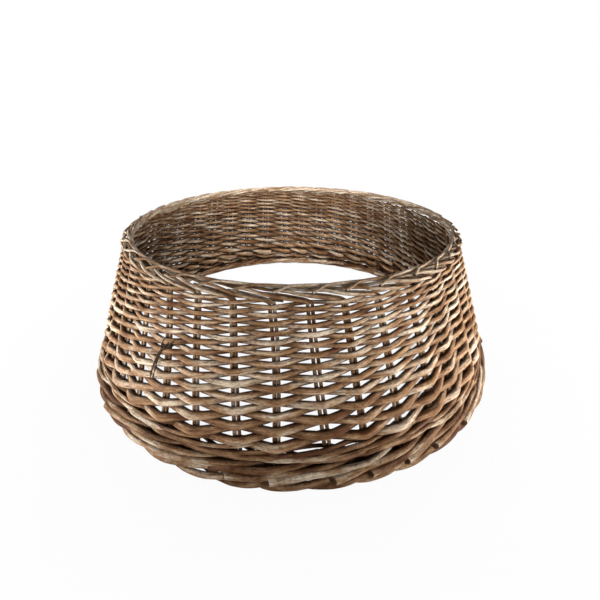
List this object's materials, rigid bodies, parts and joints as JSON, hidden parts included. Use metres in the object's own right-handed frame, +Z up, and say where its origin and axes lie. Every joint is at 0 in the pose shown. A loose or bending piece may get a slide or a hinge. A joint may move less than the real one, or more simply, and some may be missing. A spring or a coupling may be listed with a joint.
{
  "type": "christmas tree collar",
  "caption": "Woven willow ring, open at top and bottom and wider at its foot, that stands on the floor round a christmas tree and hides its stand.",
  "frame": {"origin": "on the floor, at the middle of the ring", "axes": "+Z up along the ring's axis, -Y towards the front of the picture, +X to its right"},
  "size_m": [0.584, 0.5843, 0.1844],
  "materials": {
    "stake_willow": "matte brown bark, dry",
    "weaver_willow": "matte tan and brown bark, dry",
    "wale_willow": "matte brown bark, dry",
    "foot_willow": "matte dark brown bark, cut ends",
    "twine": "dull dark brown twine"
  },
  "bodies": {
    "root": {"stake_01": "stake_willow", "stake_02": "stake_willow", "stake_03": "stake_willow", "stake_04": "stake_willow", "stake_05": "stake_willow", "stake_06": "stake_willow", "stake_07": "stake_willow", "stake_08": "stake_willow", "stake_09": "stake_willow", "stake_10": "stake_willow", "stake_11": "stake_willow", "stake_12": "stake_willow", "stake_13": "stake_willow", "stake_14": "stake_willow", "stake_15": "stake_willow", "stake_16": "stake_willow", "stake_17": "stake_willow", "stake_18": "stake_willow", "stake_19": "stake_willow", "stake_20": "stake_willow", "stake_21": "stake_willow", "stake_22": "stake_willow", "stake_23": "stake_willow", "stake_24": "stake_willow", "stake_25": "stake_willow", "stake_26": "stake_willow", "stake_27": "stake_willow", "stake_28": "stake_willow", "stake_29": "stake_willow", "stake_30": "stake_willow", "stake_31": "stake_willow", "stake_32": "stake_willow", "stake_33": "stake_willow", "stake_34": "stake_willow", "stake_35": "stake_willow", "stake_36": "stake_willow", "stake_37": "stake_willow", "stake_38": "stake_willow", "stake_39": "stake_willow", "stake_40": "stake_willow", "pairing_row_01": "weaver_willow", "pairing_row_02": "weaver_willow", "pairing_row_03": "weaver_willow", "pairing_row_04": "weaver_willow", "pairing_row_05": "weaver_willow", "pairing_row_06": "weaver_willow", "pairing_row_07": "weaver_willow", "pairing_row_08": "weaver_willow", "pairing_row_09": "weaver_willow", "pairing_row_10": "weaver_willow", "pairing_row_11": "weaver_willow", "pairing_row_12": "weaver_willow", "pairing_row_13": "weaver_willow", "wale_rod_01": "wale_willow", "wale_rod_02": "wale_willow", "wale_rod_03": "wale_willow", "foot_rod_01": "foot_willow", "foot_rod_02": "foot_willow", "foot_rod_03": "foot_willow", "twine_tie": "twine"}
  },
  "joints": []
}
